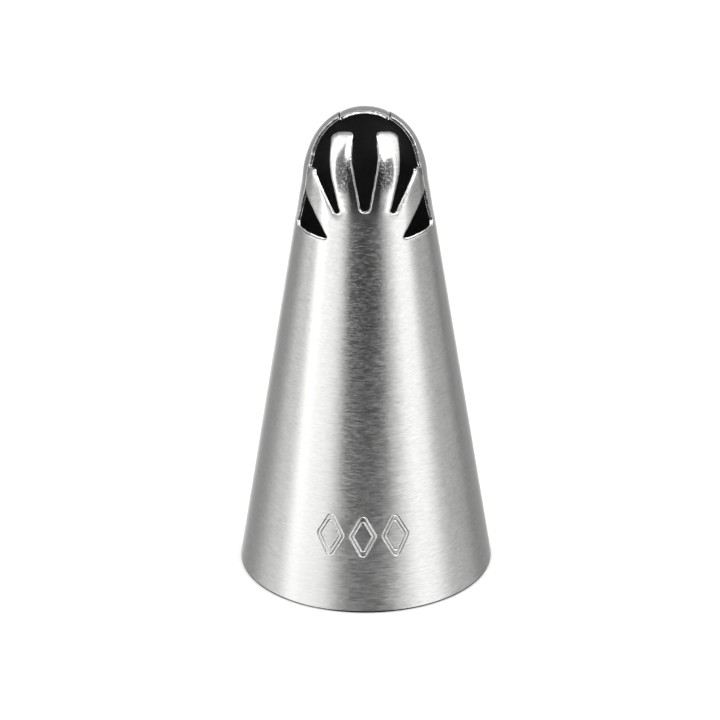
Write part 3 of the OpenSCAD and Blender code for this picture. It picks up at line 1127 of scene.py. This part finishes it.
# A round lamp: azimuth, elevation, radius and softness in degrees, and strength
OVERHEAD = (-26, 48, 16, 5, 2.3)
# The fill fades to the ground's light between these elevations
GROUND = (-60, -25, 0.06)
# The even light that falls on what doesn't mirror, such as the floor
PALE = 1.5


def studio_world():
    world = bpy.data.worlds.new("studio")
    bpy.context.scene.world = world
    world.use_nodes = True
    nodes = Nodes(world.node_tree)
    way = nodes.add("ShaderNodeTexCoord").outputs["Generated"]
    x, y, z = nodes.split(way)
    level = nodes.vector("NORMALIZE", nodes.join(x, y, 0.0))
    elevation = nodes.math("ARCSINE", z)

    def fade(value, middle, soft, start, end):
        """From one value to another, over a softness in degrees on both sides of a middle."""
        return nodes.step(value, math.radians(middle - soft), math.radians(middle + soft), start, end)

    def angle_from(direction, az, el):
        az, el = math.radians(az), math.radians(el)
        towards = (math.cos(el) * math.sin(az), -math.cos(el) * math.cos(az), math.sin(el))
        cosine = nodes.math("MINIMUM", nodes.vector("DOT_PRODUCT", direction, towards), 1.0)
        return nodes.math("ARCCOSINE", cosine)

    def patch(az, half, soft, low, high, edge):
        across = fade(angle_from(level, az, 0), half, soft, 1, 0)
        upward = nodes.times(fade(elevation, low, edge, 0, 1), fade(elevation, high, edge, 1, 0))
        return nodes.times(across, upward)

    ground_low, ground_high, ground_light = GROUND
    light = nodes.step(elevation, math.radians(ground_low), math.radians(ground_high), ground_light, FILL)
    for *where, strength in PANELS:
        light = nodes.math("ADD", light, nodes.times(patch(*where), strength))
    for *where, strength in DARK:
        left = nodes.math("SUBTRACT", 1.0, nodes.times(patch(*where), strength))
        light = nodes.times(light, left)
    az, el, radius, soft, strength = OVERHEAD
    light = nodes.math("ADD", light, fade(angle_from(way, az, el), radius, soft, strength, 0))
    mirrored = nodes.add("ShaderNodeLightPath").outputs["Is Glossy Ray"]
    back = nodes.add("ShaderNodeBackground")
    nodes.feed(back.inputs["Color"], (1, 1, 1, 1))
    nodes.feed(back.inputs["Strength"], nodes.mix(mirrored, PALE, light))
    out = nodes.add("ShaderNodeOutputWorld")
    nodes.tree.links.new(back.outputs[0], out.inputs[0])


def make_floor(half=3.0):
    mesh = bpy.data.meshes.new("floor")
    corners = [(-half, -half, 0), (half, -half, 0), (half, half, 0), (-half, half, 0)]
    mesh.from_pydata(corners, [], [(0, 1, 2, 3)])
    mesh.materials.append(floor_paper())
    floor = linked("floor", mesh)
    floor.visible_glossy = False


# The camera, in metres and millimetres of lens: where it aims off the object's middle, and its roll
DISTANCE = 0.5
LENS = 352.7
AIM_DOWN = 0.001734
AIM_LEFT = 0.000387
ROLL_ANGLE = math.radians(-0.2)


def make_camera():
    back = Vector(SEEN_FROM)
    up = Vector((0, math.sin(SEEN_ELEVATION), math.cos(SEEN_ELEVATION)))
    centre = Vector((0, 0, HEIGHT / 2 * MM))
    at = centre + back * DISTANCE
    aim = centre - up * AIM_DOWN + Vector((-AIM_LEFT, 0, 0))
    data = bpy.data.cameras.new("camera")
    data.lens = LENS
    data.sensor_width = 36
    data.clip_start, data.clip_end = 0.01, 20
    camera = linked("camera", data)
    turn = (aim - at).to_track_quat("-Z", "Y").to_matrix() @ Matrix.Rotation(ROLL_ANGLE, 3, "Z")
    camera.matrix_world = Matrix.Translation(at) @ turn.to_4x4()
    bpy.context.scene.camera = camera


def dress():
    outside = outside_steel("steel_outside", STEEL)
    weld = outside_steel("steel_weld", WELD_STEEL)
    inside = inside_steel()
    for piece, node, slot in (
            (make_crown(outside, inside, cut_edge(), painted_shade_band()), "crown", "crown_steel"),
            (make_skirt(outside, inside, rolled_rim()), "skirt", "cone_steel"),
            (make_ring_weld(outside, inside), "ring_weld", "weld_steel"),
            (make_seam_weld(weld, inside), "skirt_seam_weld", "weld_steel")):
        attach(piece, "root")
        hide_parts(node)


bpy.context.scene.view_settings.view_transform = "Standard"
bpy.context.scene.view_settings.look = "None"
make_camera()
studio_world()
make_floor()
dress()
